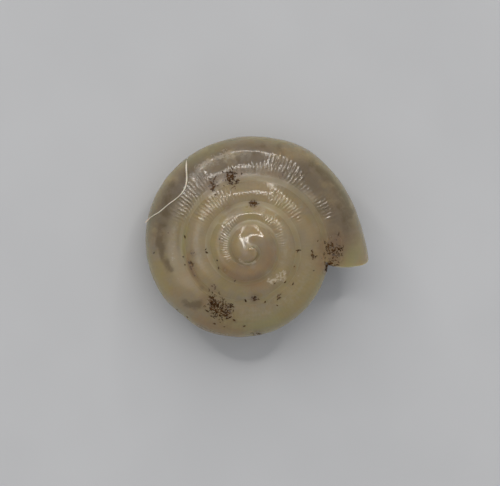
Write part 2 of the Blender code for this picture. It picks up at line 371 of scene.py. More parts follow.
def angle_under_seam(stage, side, inset=0.0):
    """Angles on a stage's own wall at which the next whorl's wall lands on it."""
    centre, middle, half_width, above, below = section(stage)
    radius, height = wall_point(stage + 1.0, seam_angle(stage + 1.0, side, inset), inset)
    half_height = np.where(height > middle, above, below)
    return np.arctan2((height - middle) / half_height, (radius - centre) / half_width)


def set_back(stage, angle):
    """Whorls by which the growth line lies back at an angle: none at the crest, most below."""
    return smooth_step(*SET_BACK_STAGES, stage) * LIP_SET_BACK * (1.0 - np.sin(angle)) / 2.0


def spin(radius, height, grown):
    """Positions at a radius and height, turned around the axis to a stage."""
    azimuth = LIP_AZIMUTH + math.tau * (WHORLS - grown)
    return np.stack((radius * np.cos(azimuth), radius * np.sin(azimuth), height + 0.0 * azimuth), axis=-1)


def place(stage, angle, inset=0.0):
    """Positions of wall points, in millimetres, with the axis of coiling on Z."""
    grown = stage - set_back(stage, angle)
    return spin(*wall_point(grown, angle, inset), grown)


def outward(stage, angle):
    """Unit vectors that point straight out of the wall."""
    grown = stage - set_back(stage, angle)
    _, _, half_width, above, below = section(grown)
    half_height = np.where(np.sin(angle) > 0.0, above, below)
    away = np.cos(angle) / half_width
    up = np.sin(angle) / half_height
    length = np.hypot(away, up)
    return spin(away / length, up / length, grown)


def spread(first, last, steps):
    """Evenly spaced columns from first up to, but without, last."""
    share = np.arange(steps) / steps
    return first[:, None] + (last - first)[:, None] * share[None, :]


def wrapped_below(angle, upper):
    """The same directions, but less than the upper ones."""
    return np.where(angle < upper, angle, angle - math.tau)


def sampled(function, stage, *details):
    """A function of the stage, worked out at even samples and read between them."""
    last = WHORLS + SAMPLED_PAST_LIP
    samples = np.linspace(0.0, last, round(last * SEAM_SAMPLES_PER_WHORL))
    return np.interp(stage, samples, function(samples, *details))


def outer_angles(stage):
    """Angles of the outer vertices of every ring, with the next whorl's seams at fixed columns."""
    early = stage < 1.0
    later = np.maximum(stage, 1.0)
    top = np.where(early, NUCLEUS_TOP_ANGLE, seam_angle(later, 1))
    bottom = np.where(early, NUCLEUS_BOTTOM_ANGLE, seam_angle(later, -1))
    top_outside = sampled(angle_under_seam, stage, 1)
    bottom_outside = wrapped_below(sampled(angle_under_seam, stage, -1), top_outside)
    seam_width = (top_outside - bottom_outside) / (COVERED_STEPS + 2)
    hollow = stage + 1.0 >= CAVITY_FIRST_STAGE
    top_inside = np.where(hollow, sampled(angle_under_seam, stage, 1, WALL), top_outside - seam_width)
    low_inside = wrapped_below(sampled(angle_under_seam, stage, -1, WALL), top_inside)
    bottom_inside = np.where(hollow, low_inside, bottom_outside + seam_width)
    return np.hstack((
        spread(top, top_outside, CREST_STEPS),
        top_outside[:, None],
        spread(top_inside, bottom_inside, COVERED_STEPS),
        bottom_inside[:, None],
        spread(bottom_outside, bottom, BASE_STEPS),
        bottom[:, None],
    ))


def cavity_angles(stage):
    """Angles of the cavity vertices of every ring, from its upper seam around to its lower."""
    top, bottom = seam_angle(stage, 1, WALL), seam_angle(stage, -1, WALL)
    return np.hstack((spread(top, bottom, STEPS), bottom[:, None]))


def growth_length(stage):
    """Length grown along the middle of the wall, in millimetres, from the apex to a stage."""
    samples = np.linspace(0.0, WHORLS, LAST_RING + 1)
    centre, _, half_width, _, _ = section(samples)
    turn = math.tau * (centre + half_width / 2.0)
    lengths = np.concatenate(([0.0], np.cumsum((turn[1:] + turn[:-1]) / 2.0 * np.diff(samples))))
    return np.interp(stage, samples, lengths)


def wrinkle_relief(length, angle):
    """Height of the coarse growth wrinkles, in millimetres, by the length grown."""
    draw = np.random.default_rng(WRINKLE_SEED)
    relief = 0.0 * length
    for spacing, height in WRINKLES:
        values = draw.uniform(-1.0, 1.0, WRINKLE_DRAWS)
        at = length / spacing + WRINKLE_SWAY * np.sin(2.0 * angle)
        low = np.floor(at).astype(int)
        share = smooth_step(0.0, 1.0, at - low)
        relief = relief + height * (values[low] * (1.0 - share) + values[low + 1] * share)
    return relief


def outer_surface():
    """Vertices and index grid of the outside, with growth stage and angle for each grid place."""
    stage = np.arange(1, LAST_RING + 1) / RINGS_PER_WHORL
    angles = outer_angles(stage)
    stages = np.repeat(stage[:, None], STEPS + 1, axis=1)
    lengths = growth_length(stages - set_back(stages, angles))
    relief = wrinkle_relief(lengths, angles) * smooth_step(*WRINKLED_STAGES, stages)
    points = place(stages, angles) + outward(stages, angles) * relief[:, :, None]
    poles = [(0.0, 0.0, NUCLEUS_TOP), (0.0, 0.0, NUCLEUS_BOTTOM)]
    start = place(np.array([0.0]), np.array([START_ANGLE]))
    vertices = np.vstack((poles, start, points[:, 1:-1].reshape(-1, 3)))
    grid = np.zeros((LAST_RING + 1, STEPS + 1), dtype=int)
    grid[0, 1:-1] = 2
    grid[0, -1] = 1
    grid[1:, 1:-1] = 3 + np.arange(LAST_RING * (STEPS - 1)).reshape(LAST_RING, STEPS - 1)
    for ring in range(1, LAST_RING + 1):
        inner_ring = grid[ring - RINGS_PER_WHORL]
        is_nucleus = ring < RINGS_PER_WHORL
        grid[ring, 0] = 0 if is_nucleus else inner_ring[TOP_SEAM]
        grid[ring, -1] = 1 if is_nucleus else inner_ring[BOTTOM_SEAM]
    grown = np.vstack((0.0 * stages[:1], stages - set_back(stages, angles)))
    angles = np.vstack((angles[:1], angles))
    return vertices, grid, grown, angles


def cavity_surface(outside, first_index):
    """Vertices and index grid of the cavity wall, joined to the outside along both seams."""
    stage = np.arange(CAVITY_RING, LAST_RING + 1) / RINGS_PER_WHORL
    angles = cavity_angles(stage)
    stages = np.repeat(stage[:, None], STEPS + 1, axis=1)
    points = place(stages, angles, WALL)
    rows = len(stage)
    grid = np.zeros((rows, STEPS + 1), dtype=int)
    grid[:, 1:-1] = first_index + np.arange(rows * (STEPS - 1)).reshape(rows, STEPS - 1)
    inner_rings = outside[CAVITY_RING - RINGS_PER_WHORL:LAST_RING + 1 - RINGS_PER_WHORL]
    grid[:, 0] = inner_rings[:, TOP_SEAM + 1]
    grid[:, -1] = inner_rings[:, BOTTOM_SEAM - 1]
    return points[:, 1:-1].reshape(-1, 3), grid, stages, angles


class Faces:
    """Faces of the shell, with the growth stage and angle at each of their corners."""

    def __init__(self):
        self.corners = []
        self.places = []

    def add_strip(self, rows, stages, angles, skipped=()):
        """Join two rows of vertices, without the skipped steps and repeated corners."""
        for step in range(len(rows[0]) - 1):
            if step in skipped:
                continue
            around = ((0, step), (0, step + 1), (1, step + 1), (1, step))
            seen = {}
            for row, column in around:
                seen.setdefault(rows[row][column], (stages[row][column], angles[row][column]))
            if len(seen) > 2:
                self.corners.append(list(seen))
                self.places.extend(seen.values())


def covered_steps(ring):
    """Steps of the strip after a ring that the next whorl leaves no surface on."""
    if ring + RINGS_PER_WHORL >= LAST_RING:
        return ()
    if ring + RINGS_PER_WHORL < CAVITY_RING:
        return range(TOP_SEAM, BOTTOM_SEAM)
    return (TOP_SEAM, BOTTOM_SEAM - 1)


def lip_row(vertices, outside, cavity):
    """A row of vertices along the lip, a little proud of it, which rounds its edge."""
    outer = vertices[outside[-1][1:-1]]
    rim = (outer + vertices[cavity[-1][1:-1]]) / 2.0
    forward = outer - vertices[outside[-2][1:-1]]
    forward /= np.linalg.norm(forward, axis=1)[:, None]
    row = np.concatenate(([outside[-1][0]], len(vertices) + np.arange(STEPS - 1), [outside[-1][-1]]))
    return rim + forward * WALL * LIP_ROUNDING, row


def soften_seam(vertices, outside):
    """Round the groove along the upper seam, where each whorl's thin edge lies on the one before."""
    rings = np.arange(RINGS_PER_WHORL, LAST_RING + 1)
    before = outside[rings - RINGS_PER_WHORL, TOP_SEAM - SOFT_COLUMNS + 1:TOP_SEAM]
    chain = np.hstack((before, outside[rings, :SOFT_COLUMNS]))
    share = SOFT_SHARE * smooth_step(*SOFT_STAGES, rings / RINGS_PER_WHORL)[:, None, None]
    for _ in range(SOFT_ROUNDS):
        line = vertices[chain]
        middle = (line[:, :-2] + line[:, 2:]) / 2.0
        vertices[chain[:, 1:-1]] += (middle - line[:, 1:-1]) * share


def seam_band(outside, count):
    """How strongly each vertex belongs to the band along the upper seam."""
    band = np.zeros(count)
    for column, strength in reversed(list(enumerate(SEAM_BAND))):
        band[outside[RINGS_PER_WHORL:, column]] = strength
        band[outside[:-RINGS_PER_WHORL, TOP_SEAM - column]] = strength
    return band


def slant_nucleus(points):
    """Lean the top of the nucleus, less and less outward."""
    share = np.exp(-(points[:, 0] ** 2 + points[:, 1] ** 2) / SLANT_REACH ** 2)
    points[:, 2] += share * (points[:, :2] @ np.array(NUCLEUS_SLANT))


def shell_geometry():
    """All vertices, in millimetres, all faces, and the index grid of the outside."""
    vertices, outside, stages, angles = outer_surface()
    soften_seam(vertices, outside)
    inner, cavity, inner_stages, inner_angles = cavity_surface(outside, len(vertices))
    vertices = np.vstack((vertices, inner))
    lip, lip_indices = lip_row(vertices, outside, cavity)
    vertices = np.vstack((vertices, lip))
    faces = Faces()
    for ring in range(LAST_RING):
        pair = slice(ring, ring + 2)
        faces.add_strip(outside[pair], stages[pair], angles[pair], covered_steps(ring))
    for row in range(len(cavity) - 1):
        pair = [row + 1, row]
        faces.add_strip(cavity[pair], inner_stages[pair], inner_angles[pair])
    shares = np.round(np.arange(STEPS + 1) * COVERED_STEPS / STEPS).astype(int)
    closing = cavity[0], outside[CAVITY_RING - RINGS_PER_WHORL][TOP_SEAM + 1 + shares]
    faces.add_strip(closing, inner_stages[[0, 0]], inner_angles[[0, 0]])
    slant_nucleus(vertices)
    ends = stages[[-1, -1]], angles[[-1, -1]]
    faces.add_strip((outside[-1], lip_indices), *ends)
    faces.add_strip((lip_indices, cavity[-1]), *ends)
    return vertices, faces, outside


def mark_strength(picture, strokes, spots):
    """How strongly strokes and spots cover each place, in mm right of and above the apex."""
    total = np.zeros(len(picture))
    turned = np.degrees(np.arctan2(picture[:, 1], picture[:, 0]))
    for first, first_distance, last, last_distance, half_width, strength in strokes:
        middle = (first + last) / 2.0
        offset = (turned - middle + 180.0) % 360.0 - 180.0
        nearest = np.clip(middle + offset, first, last)
        share = (nearest - first) / (last - first)
        distance = first_distance + (last_distance - first_distance) * share
        centre = distance[:, None] * np.stack((np.cos(np.radians(nearest)), np.sin(np.radians(nearest))), 1)
        gap = np.sum((picture - centre) ** 2, axis=1) / half_width ** 2
        total = np.maximum(total, strength * np.exp(-gap))
    for right, above, half_width, strength in spots:
        gap = np.sum((picture - np.array((right, above))) ** 2, axis=1) / half_width ** 2
        total = np.maximum(total, strength * np.exp(-gap))
    return total


def resting_places(points):
    """Lean the shell as it lies, wear it flat where it touches, and stand it on the origin."""
    leant = points @ REST_TURN.T
    lows, highs = leant.min(axis=0), leant.max(axis=0)
    middle = (lows + highs) / 2.0
    middle[2] = lows[2] + REST_FLAT
    rested = leant - middle
    rested[:, 2] = np.maximum(rested[:, 2], 0.0)
    return rested * MM, middle


def picture_frame(middle):
    """Right, up, towards the camera and the apex, as the shell lies in the picture."""
    right, up, towards = (Vector(REST_TURN @ axis) for axis in PICTURE_AXES)
    return right, up, towards, Vector(-middle * MM) - up * AXIS_RISE * MM


# Sockets of a node that mixes colours: its two colours and its result
MIX_FIRST, MIX_SECOND, MIX_RESULT = 6, 7, 2
# How strongly an uneven field breaks up a mark: gain and offset
UNEVEN = (4.0, -1.0)


class Tree:
    """Short calls for building a material out of nodes."""

    def __init__(self, name):
        self.material = bpy.data.materials.new(name)
        self.material.use_nodes = True
        self.nodes = self.material.node_tree.nodes
        self.surface = self.nodes["Principled BSDF"]

    def node(self, kind, inputs, **settings):
        """Add a node; inputs maps socket names or numbers to values or to other sockets."""
        node = self.nodes.new(kind)
        for name, value in settings.items():
            setattr(node, name, value)
        self.fill(node, inputs)
        return node

    def fill(self, node, inputs):
        """Set or link the inputs of a node."""
        for name, value in inputs.items():
            if isinstance(value, bpy.types.NodeSocket):
                self.material.node_tree.links.new(value, node.inputs[name])
            else:
                node.inputs[name].default_value = value

    def place_in_mm(self):
        """The place of each point, in millimetres."""
        position = self.node("ShaderNodeNewGeometry", {}).outputs["Position"]
        return self.stretch(position, (1.0 / MM,) * 3)

    def attribute(self, name):
        """A number kept on the mesh."""
        return self.node("ShaderNodeAttribute", {}, attribute_name=name).outputs["Fac"]

    def math(self, operation, *values):
        """One sum of two or three numbers."""
        return self.node("ShaderNodeMath", dict(enumerate(values)), operation=operation).outputs[0]

    def times(self, first, second):
        """One number times another."""
        return self.math("MULTIPLY", first, second)

    def larger(self, first, second):
        """The larger of two numbers."""
        return self.math("MAXIMUM", first, second)

    def noise(self, vector, scale, detail=3.0, roughness=0.55):
        """Soft random values around a half."""
        inputs = {"Vector": vector, "Scale": scale, "Detail": detail, "Roughness": roughness}
        return self.node("ShaderNodeTexNoise", inputs).outputs["Fac"]

    def between(self, value, low, high):
        """Rise smoothly from 0 at low to 1 at high."""
        inputs = {"Value": value, "From Min": low, "From Max": high}
        return self.node("ShaderNodeMapRange", inputs, interpolation_type="SMOOTHSTEP").outputs[0]

    def veil(self, value, low, high, cover):
        """Rise smoothly from 0 at low to a greatest cover at high."""
        return self.times(self.between(value, low, high), cover)

    def broken(self, name, field, low, high, cover):
        """A veil of a mark kept on the mesh, made uneven by a field."""
        uneven = self.math("MULTIPLY_ADD", field, *UNEVEN)
        return self.veil(self.times(self.attribute(name), uneven), low, high, cover)

    def mix(self, share, first, second):
        """Blend two colours."""
        node = self.node("ShaderNodeMix", {0: share}, data_type="RGBA")
        self.fill(node, {MIX_FIRST: first, MIX_SECOND: second})
        return node.outputs[MIX_RESULT]

    def stretch(self, vector, scale):
        """Scale a vector by different amounts along its axes."""
        return self.node("ShaderNodeMapping", {"Vector": vector, "Scale": scale}).outputs[0]


def srgb(red, green, blue):
    """A linear colour from 8-bit display values."""
    values = [value / 255.0 for value in (red, green, blue)]
    linear = [v / 12.92 if v <= 0.04045 else ((v + 0.055) / 1.055) ** 2.4 for v in values]
    return (*linear, 1.0)


# Colours of the shell, with its painted glints, painted sheen and painted rim glow, the soil and the fibre
OLIVE = srgb(154, 135, 96)
OLIVE_GREY = srgb(142, 128, 106)
UMBER = srgb(100, 87, 70)
DUSK = srgb(80, 62, 22)
MILK_AND_SHEEN = srgb(176, 168, 152)
CHALK_AND_GLINT = srgb(220, 204, 184)
PALE = srgb(180, 176, 156)
AMBER = srgb(150, 134, 78)
TAWNY = srgb(148, 114, 66)
RIM_GLOW = srgb(150, 148, 106)
GREEN = srgb(148, 146, 96)
SOIL = srgb(96, 66, 30)
DARK_SOIL = srgb(54, 32, 6)
LIGHT_SOIL = srgb(86, 58, 26)
LINT = srgb(232, 226, 210)
LINT_SHADE = srgb(205, 196, 176)

# Uneven fields that break up the colours and the ribs: features per mm, detail and roughness
FIELDS = {
    "broad": (0.9, 4.0, 0.55),
    "clouds": (1.9, 4.0, 0.6),
    "patches": (3.2, 5.0, 0.65),
    "rib_patches": (7.0, 3.0, 0.6),
    "flakes": (9.0, 3.0, 0.7),
    "grain": (16.0, 3.0, 0.6),
    "fine_grain": (40.0, 2.0, 0.6),
}
# Bands across the coil: how fine they are along it and across it
BAND_STRETCH = (14.0, 0.4, 1.0)

# Values of a field, or of a mark broken up by one, at which a colour starts and is full, and how
# much it then covers
AMBER_CLOUDS = (0.48, 0.66, 0.55)
TAWNY_PATCHES = (0.52, 0.66, 0.3)
AMBER_BANDS = (0.45, 0.75, 0.3)
GLINTING_RIBS = (0.45, 1.3, 0.5)
FLAKES_AND_GLINTS = (0.45, 1.1, 0.55)
MILKY_SHEEN_FLAKES = (0.05, 0.95, 0.6)
DUSKY_PATCHES = (0.1, 1.0, 0.75)
PAINTED_RIM_GLOW = (0.15, 0.55, 0.3)
DULL_FLAKES = (0.1, 1.3, 1.0)

# The same without a cover, also for the ribs, the crumbs and the fibre
GREY_AREAS = (0.35, 0.65)
UMBER_CLOUDS = (0.2, 0.58)
PATCHY = (0.3, 0.6)
SPECKS = (0.78, 0.84)
CRUMB_TONES = (0.42, 0.66)
LINT_TONES = (0.3, 0.7)

# How much else tints the colour: ribs in the painted glints, shade on the ribs, the pale inside, the
# painted warm glow at the seam, width of the painted rim glow, the film of soil at its thinnest and
# thickest, and specks in it
RIBS_IN_GLINTS = 0.3
RIB_SHADE = 0.05
INSIDE_PALENESS = 0.7
SEAM_GLOW = 0.3
RIM_GLOW_BLEND = 0.35
THINNEST_FILM = 0.4
FILM_COVER = 0.85
SPECKS_IN_SOIL = 0.3

# Gloss and glow: roughness of clean shell and how much dust adds, dust in the soil and the seam, relief of
# the finest grain beside the ribs, refraction, strength of the gloss, how light travels in the shell (its
# colours, depth in mm and forward share), and how far crust and the painted glints stop it
CLEAN_ROUGHNESS = 0.12
DUST_ROUGHNESS = 0.7
DUST_SHARE = 0.5
FINE_RELIEF = 0.05
SHELL_IOR = 1.6
SHELL_GLOSS = 0.7
GLOW_COLOURS = (1.0, 0.72, 0.42)
GLOW_DEPTH = 0.45
GLOW_FORWARD = 0.3
CRUST_AND_GLINT_COVER = 0.85

# Soil and fibre: features of their colour per mm and detail, relief in mm and its features per mm,
# roughness of soil and floor, strength of the gloss, and the fibre's glow and its depth in mm
CRUMB_FEATURES = (9.0, 3.0)
CRUMB_RELIEF = 0.004
CRUMB_RELIEF_SCALE = 60.0
DULL_ROUGHNESS = 0.9
CRUMB_GLOSS = 0.1
LINT_FEATURES = (6.0, 3.0)
LINT_ROUGHNESS = 0.6
LINT_GLOW = 0.3
LINT_GLOW_DEPTH = 0.03


def growth_ribs(tree, growth, patches):
    """Fine ribs along the growth lines, from 0 to 1, and how tall they stand at each place."""
    stage = tree.node("ShaderNodeSeparateXYZ", {"Vector": growth}).outputs["X"]
    along, across, turns = RIB_WANDER
    wander = tree.noise(tree.stretch(growth, (along, across, 1.0)), 1.0, 2.0)
    number = tree.math("MULTIPLY_ADD", stage, MORE_RIBS / 2.0 * math.tau, FIRST_RIBS * math.tau)
    phase = tree.math("MULTIPLY_ADD", stage, number, tree.times(wander, turns))
    ribs = tree.math("MULTIPLY_ADD", tree.math("SINE", phase), 0.5, 0.5)
    ribbed = tree.times(tree.attribute("ribbed"), tree.between(patches, *PATCHY))
    ribbed = tree.larger(ribbed, LEAST_RIBBED)
    return ribs, tree.times(ribbed, tree.between(stage, *RIBBED_STAGES))


def wall_colour(tree, fields, ribs):
    """Colour of the wall without soil, with painted glints, painted sheen, painted rim glow and a painted
    seam glow, and how far flakes, painted glints and dark stains cover it.
    """
    grain = tree.math("ADD", fields["grain"], -RIBS_IN_GLINTS / 2.0)
    streaks = tree.math("MULTIPLY_ADD", ribs, RIBS_IN_GLINTS, grain)
    flakes = tree.broken("flake_and_glint", fields["grain"], *FLAKES_AND_GLINTS)
    chalk_and_glint = tree.larger(tree.broken("chalk_and_glint", streaks, *GLINTING_RIBS), flakes)
    dusk = tree.broken("dusk", fields["patches"], *DUSKY_PATCHES)
    glowing_edge = tree.node("ShaderNodeLayerWeight", {"Blend": RIM_GLOW_BLEND}).outputs["Facing"]
    layers = (
        (tree.between(fields["broad"], *GREY_AREAS), OLIVE_GREY),
        (tree.veil(fields["clouds"], *AMBER_CLOUDS), AMBER),
        (tree.veil(fields["patches"], *TAWNY_PATCHES), TAWNY),
        (tree.veil(fields["bands"], *AMBER_BANDS), AMBER),
        (tree.attribute("amber"), AMBER),
        (tree.attribute("green"), GREEN),
        (tree.attribute("tawny"), TAWNY),
        # Painted highlights: pale rib crests and flakes that stand in for glints
        (chalk_and_glint, CHALK_AND_GLINT),
        (tree.times(tree.attribute("umber"), tree.between(fields["clouds"], *UMBER_CLOUDS)), UMBER),
        # Milky shell and painted sheen: pale patches standing in for dim reflections
        (tree.broken("milk_and_sheen", fields["flakes"], *MILKY_SHEEN_FLAKES), MILK_AND_SHEEN),
        (dusk, DUSK),
        # Painted rim glow: pale greenish colour where the wall turns away from the camera, standing in for
        # light through the thin edge
        (tree.veil(glowing_edge, *PAINTED_RIM_GLOW), RIM_GLOW),
        (tree.times(ribs, RIB_SHADE), UMBER),
        (tree.times(tree.attribute("inside"), INSIDE_PALENESS), PALE),
        # Painted warm glow of the thin shell along the seam, set against the shade of its groove
        (tree.times(tree.attribute("seam"), SEAM_GLOW), AMBER),
    )
    colour = OLIVE
    for cover, tint in layers:
        colour = tree.mix(cover, colour, tint)
    return colour, tree.larger(chalk_and_glint, dusk)


def soiled_colour(tree, fields, colour):
    """A colour under the film and the specks of soil, and how far each of these covers it."""
    soil = tree.attribute("soil")
    uneven = tree.between(fields["patches"], *PATCHY)
    uneven = tree.math("MULTIPLY_ADD", uneven, 1.0 - THINNEST_FILM, THINNEST_FILM)
    film = tree.times(soil, uneven)
    colour = tree.mix(tree.times(film, FILM_COVER), colour, SOIL)
    specks = tree.math("ADD", tree.times(soil, SPECKS_IN_SOIL), fields["grain"])
    specks = tree.between(specks, *SPECKS)
    return tree.mix(specks, colour, DARK_SOIL), film, specks


def shell_material():
    """Waxy, glossy, translucent shell with growth lines, blotches, a film of soil, and painted glints,
    sheen and rim glow.
    """
    tree = Tree("shell_wall_fine")
    place = tree.place_in_mm()
    growth = tree.node("ShaderNodeUVMap", {}, uv_map="growth").outputs[0]
    fields = {name: tree.noise(place, *values) for name, values in FIELDS.items()}
    fields["bands"] = tree.noise(tree.stretch(growth, BAND_STRETCH), 1.0, 2.0)
    ribs, ribbed = growth_ribs(tree, growth, fields["rib_patches"])
    colour, crust_and_glints = wall_colour(tree, fields, ribs)
    colour, film, specks = soiled_colour(tree, fields, colour)

    height = tree.times(fields["fine_grain"], FINE_RELIEF)
    height = tree.math("ADD", tree.times(ribs, ribbed), height)
    bump = tree.node("ShaderNodeBump", {"Distance": RIB_HEIGHT * MM, "Height": height})
    dust = tree.times(tree.larger(film, tree.attribute("seam")), DUST_SHARE)
    dust = tree.larger(dust, tree.broken("dull", fields["flakes"], *DULL_FLAKES))
    crust_and_glints = tree.larger(tree.larger(film, specks), crust_and_glints)
    tree.fill(tree.surface, {
        "Base Color": colour,
        "Roughness": tree.math("MULTIPLY_ADD", dust, DUST_ROUGHNESS, CLEAN_ROUGHNESS),
        "Normal": bump.outputs[0],
        "IOR": SHELL_IOR,
        "Specular IOR Level": SHELL_GLOSS,
        "Subsurface Weight": tree.math("MULTIPLY_ADD", crust_and_glints, -CRUST_AND_GLINT_COVER, 1.0),
        "Subsurface Radius": GLOW_COLOURS,
        "Subsurface Scale": GLOW_DEPTH * MM,
        "Subsurface Anisotropy": GLOW_FORWARD,
    })
    return tree.material


def add_object(name, data):
    """A new object in the scene."""
    added = bpy.data.objects.new(name, data)
    bpy.context.scene.collection.objects.link(added)
    return added


def shell_surface():
    """The fine shell in place of the plain one, and what later pieces need to lie on it."""
    points, faces, outside = shell_geometry()
    places, middle = resting_places(points)
    mesh = bpy.data.meshes.new("shell_surface")
    mesh.from_pydata(places.tolist(), [], faces.corners)
    mesh.uv_layers.new(name="growth").data.foreach_set("uv", np.array(faces.places).ravel())
    face_outward(mesh)
    mesh.shade_smooth()
    mesh.set_sharp_from_angle(angle=SHARP_EDGE)

    normals = np.empty(len(points) * 3)
    mesh.vertex_normals.foreach_get("vector", normals)
    facing = smooth_step(*FACING, normals.reshape(-1, 3) @ (REST_TURN @ PICTURE_AXES[2]))
    picture = points @ PICTURE_AXES[:2].T + np.array((0.0, AXIS_RISE))
    for name, strokes in STROKES.items():
        strength = mark_strength(picture, strokes, SPOTS.get(name, ()))
        keep_number(mesh, name, strength * facing)
    keep_number(mesh, "seam", seam_band(outside, len(points)))
    keep_number(mesh, "inside", (np.arange(len(points)) > outside.max()).astype(float))

    mesh.materials.append(shell_material())
    shell = add_object("shell_surface", mesh)
    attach(shell, "root")
    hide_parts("shell")
    return middle, Landing(places, faces.corners, middle)


class Landing:
    """Finds where a line of sight through a place of the picture lands on the shell."""

    def __init__(self, places, corners, middle):
        self.tree = BVHTree.FromPolygons(places.tolist(), corners)
        self.right, self.up, self.towards, self.apex = picture_frame(middle)

    def aim(self, right, above):
        """A place in mm right of and above the apex, as deep as the apex."""
        return self.apex + (self.right * right + self.up * above) * MM

    def land(self, right, above, lift=0.0):
        """Where the line of sight to a place of the picture lands, lifted in mm, and the normal."""
        aim = self.aim(right, above)
        point, normal, _, _ = self.tree.ray_cast(aim + self.towards * SIGHT_START * MM, -self.towards)
        if point is None:
            return None, None
        return point + self.towards * lift * MM, normal

    def beside(self, right, above, neighbour):
        """A place of the picture that misses the shell, as far from the camera as a neighbour."""
        aim = self.aim(right, above)
        return aim + self.towards * (neighbour - aim).dot(self.towards)


def grain_shape(work, rng, point, normal, along, size):
    """Add one rough, flattened grain of soil to a mesh, longest one way."""
    grown = bmesh.ops.create_icosphere(work, subdivisions=1, radius=1.0)["verts"]
    stretch = Vector([rng.uniform(*limits) for limits in GRAIN_STRETCH])
    side = normal.cross(along).normalized()
    turn = Matrix((side.cross(normal), side, normal)).transposed()
    for vertex in grown:
        rough = rng.uniform(*GRAIN_ROUGHNESS)
        vertex.co = point + turn @ (vertex.co * stretch) * rough * size * MM


def grain_places(rng):
    """Place, direction and size of every grain, in streaks and alone."""
    for right, above, half_width, half_height, count, direction, spread in CRUMB_PATCHES:
        for _ in range(count):
            x = right + rng.gauss(0.0, STREAK_SCATTER) * half_width
            y = above + rng.gauss(0.0, STREAK_SCATTER) * half_height
            turn = math.radians(direction + rng.uniform(-spread, spread))
            for _ in range(rng.randint(*STREAK_GRAINS)):
                size = rng.uniform(*STREAK_GRAIN)
                yield x, y, turn, size
                turn += rng.gauss(0.0, STREAK_TURN)
                x += math.cos(turn) * size * STREAK_SPACING
                y += math.sin(turn) * size * STREAK_SPACING
    for right, above, size in SINGLE_CRUMBS:
        yield right, above, rng.uniform(0.0, math.pi), size


def two_toned(name, colours, features, tones, settings):
    """A plain material that wanders between two colours."""
    tree = Tree(name)
    tone = tree.between(tree.noise(tree.place_in_mm(), *features), *tones)
    tree.fill(tree.surface, {"Base Color": tree.mix(tone, *colours), **settings})
    return tree


def crumb_material():
    """Dry, dark brown soil."""
    dull = {"Roughness": DULL_ROUGHNESS, "Specular IOR Level": CRUMB_GLOSS}
    tree = two_toned("dried_soil", (DARK_SOIL, LIGHT_SOIL), CRUMB_FEATURES, CRUMB_TONES, dull)
    relief = {"Distance": CRUMB_RELIEF * MM, "Height": tree.noise(tree.place_in_mm(), CRUMB_RELIEF_SCALE)}
    tree.fill(tree.surface, {"Normal": tree.node("ShaderNodeBump", relief).outputs[0]})
    return tree.material


def make_crumbs(landing):
    """Grains of dried soil that stick to the shell, as one piece."""
    rng = random.Random(CRUMB_SEED)
    work = bmesh.new()
    for right, above, turn, size in grain_places(rng):
        point, normal = landing.land(right, above)
        if point is not None:
            along = landing.right * math.cos(turn) + landing.up * math.sin(turn)
            grain_shape(work, rng, point, normal, along, size)
    add_piece("dried_soil", work, crumb_material())


def add_piece(name, work, material):
    """Turn a bmesh into a smooth-shaded piece that rides on the shell."""
    mesh = bpy.data.meshes.new(name)
    work.to_mesh(mesh)
    work.free()
    mesh.shade_smooth()
    mesh.materials.append(material)
    piece = add_object(name, mesh)
    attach(piece, "root")


def lint_material():
    """Pale, dull plant fibre."""
    glow = {"Subsurface Weight": LINT_GLOW, "Subsurface Scale": LINT_GLOW_DEPTH * MM}
    settings = {"Roughness": LINT_ROUGHNESS, **glow}
    return two_toned("lint", (LINT, LINT_SHADE), LINT_FEATURES, LINT_TONES, settings).material


def smooth_path(knots, steps):
    """Points along a Catmull-Rom curve through the knots."""
    ends = [knots[0] * 2.0 - knots[1]] + knots + [knots[-1] * 2.0 - knots[-2]]
    path = []
    for first in range(len(knots) - 1):
        a, b, c, d = ends[first:first + 4]
        for step in range(steps):
            t = step / steps
            bend = (a * -1.0 + b * 3.0 - c * 3.0 + d) * t ** 3
            path.append((b * 2.0 + (c - a) * t + (a * 2.0 - b * 5.0 + c * 4.0 - d) * t ** 2 + bend) / 2.0)
    return path + [knots[-1]]


def make_lint(landing):
    """The fibre of lint that lies over the left shoulder of the shell."""
    knots = [landing.land(*place, LINT_LIFT)[0] for place in LINT_PLACES]
    for end, neighbour in ((0, 1), (-1, -2)):
        if knots[end] is None:
            knots[end] = landing.beside(*LINT_PLACES[end], knots[neighbour])
    path = smooth_path(knots, LINT_STEPS)
    work = bmesh.new()
    rings = []
    for index, point in enumerate(path):
        ahead = path[min(index + 1, len(path) - 1)] - path[max(index - 1, 0)]
        turn = ahead.to_track_quat("Z", "Y").to_matrix()
        thickness = LINT_THICKNESS * min(1.0, LINT_TIP + LINT_TAPER * min(index, len(path) - 1 - index))
        ring = []
        for side in range(LINT_SIDES):
            around = math.tau * side / LINT_SIDES
            local = Vector((math.cos(around), math.sin(around) * LINT_FLATNESS, 0.0)) * thickness / 2.0
            ring.append(work.verts.new(point + turn @ local * MM))
        rings.append(ring)
    for near, far in zip(rings, rings[1:]):
        for side in range(LINT_SIDES):
            after = (side + 1) % LINT_SIDES
            work.faces.new((near[side], near[after], far[after], far[side]))
    work.faces.new(rings[0][::-1])
    work.faces.new(rings[-1])
    add_piece("lint", work, lint_material())


def keep_number(mesh, name, values):
    """Keep a number for every vertex of a mesh, for its material."""
    mesh.attributes.new(name, "FLOAT", "POINT").data.foreach_set("value", values)


def face_outward(mesh):
    """Turn every face of a closed mesh outward."""
    work = bmesh.new()
    work.from_mesh(mesh)
    bmesh.ops.recalc_face_normals(work, faces=work.faces)
    work.to_mesh(mesh)
    work.free()


